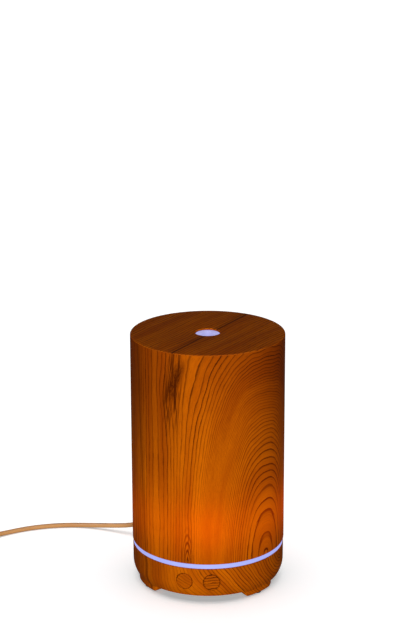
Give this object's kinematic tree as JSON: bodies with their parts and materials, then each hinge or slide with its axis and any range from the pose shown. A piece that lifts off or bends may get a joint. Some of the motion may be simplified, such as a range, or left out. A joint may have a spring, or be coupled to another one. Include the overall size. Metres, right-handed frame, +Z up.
{
  "type": "essential oil diffuser",
  "caption": "Round ultrasonic essential oil diffuser with a wood-grain lift-off cover over a water tank, a lit ring and outlet, push buttons, short feet and a thin power lead.",
  "frame": {"origin": "on the surface it stands on, on the axis of the round body", "axes": "+Z up along the body's axis; the front, midway between the buttons, faces -Y; the lead leaves the back at +Y and runs towards -X"},
  "size_m": [0.2446, 0.1142, 0.1615],
  "materials": {
    "wood_print": "wood-grain transfer print on moulded plastic, satin",
    "milky_plastic": "translucent light diffuser, lit from inside",
    "white_plastic": "moulded polypropylene, fine satin",
    "dark_plastic": "moulded, matt",
    "rubber_pad": "matt rubber",
    "silicone": "soft moulded silicone",
    "steel": "zinc-plated or nickel-plated steel",
    "brass": "plain sleeve bearing",
    "copper": "enamelled winding wire, on a core",
    "circuit_board": "solder mask on glass-fibre laminate",
    "cord_jacket": "smooth flexible jacket, satin",
    "plug_plastic": "overmoulded plug grip, satin"
  },
  "bodies": {
    "base": {"base_shell": "wood_print", "light_ring": "milky_plastic", "water_tank": "white_plastic", "air_duct": "white_plastic", "led_1": "white_plastic", "led_2": "white_plastic", "led_3": "white_plastic", "led_4": "white_plastic", "bottom_plate": "dark_plastic", "drive_transistor": "dark_plastic", "controller_chip": "dark_plastic", "capacitor": "dark_plastic", "dc_jack": "dark_plastic", "mist_switch": "dark_plastic", "light_switch": "dark_plastic", "fan_frame": "dark_plastic", "foot_pad_1": "rubber_pad", "foot_pad_2": "rubber_pad", "foot_pad_3": "rubber_pad", "foot_pad_4": "rubber_pad", "transducer_lead": "rubber_pad", "fan_lead": "rubber_pad", "tank_gasket": "silicone", "piezo_seal": "silicone", "bottom_screw_1": "steel", "bottom_screw_2": "steel", "bottom_screw_3": "steel", "bottom_screw_4": "steel", "piezo_disc": "steel", "piezo_clamp": "steel", "piezo_screw_1": "steel", "piezo_screw_2": "steel", "piezo_screw_3": "steel", "board_screw_1": "steel", "board_screw_2": "steel", "fan_screw_1": "steel", "fan_screw_2": "steel", "fan_bearing": "brass", "driver_coil": "copper", "fan_stator": "copper", "control_board": "circuit_board", "led_board": "circuit_board"},
    "cover": {"outer_cover": "wood_print", "mist_nozzle": "milky_plastic", "splash_guard": "white_plastic"},
    "mist_key": {"mist_button": "wood_print", "mist_plunger": "dark_plastic"},
    "light_key": {"light_button": "wood_print", "light_plunger": "dark_plastic"},
    "fan_wheel": {"fan_rotor": "dark_plastic", "fan_shaft": "steel"},
    "power_lead": {"dc_plug": "plug_plastic", "plug_barrel": "steel", "strain_relief": "plug_plastic", "power_cord": "cord_jacket", "cord_coil": "cord_jacket", "cord_tail": "cord_jacket", "cord_tie": "dark_plastic", "usb_plug": "plug_plastic", "usb_shell": "steel"}
  },
  "joints": [
    {"name": "cover_lift", "type": "slide", "parent": "base", "child": "cover", "axis": [0, 0, 1], "range_m": [0, 0.12]},
    {"name": "mist_button_press", "type": "slide", "parent": "base", "child": "mist_key", "axis": [0.1814, 0.9834, 0], "range_m": [0, 0.0006], "stiffness_N_per_m": 2500, "springref_m": -0.0002},
    {"name": "light_button_press", "type": "slide", "parent": "base", "child": "light_key", "axis": [-0.1814, 0.9834, 0], "range_m": [0, 0.0006], "stiffness_N_per_m": 2500, "springref_m": -0.0002},
    {"name": "fan_spin", "type": "hinge", "parent": "base", "child": "fan_wheel", "pos_m": [0, 0.01, 0.014], "axis": [0, 0, 1], "continuous": true},
    {"name": "plug_pull", "type": "slide", "parent": "base", "child": "power_lead", "axis": [0, 1, 0], "range_m": [0, 0.012]}
  ]
}
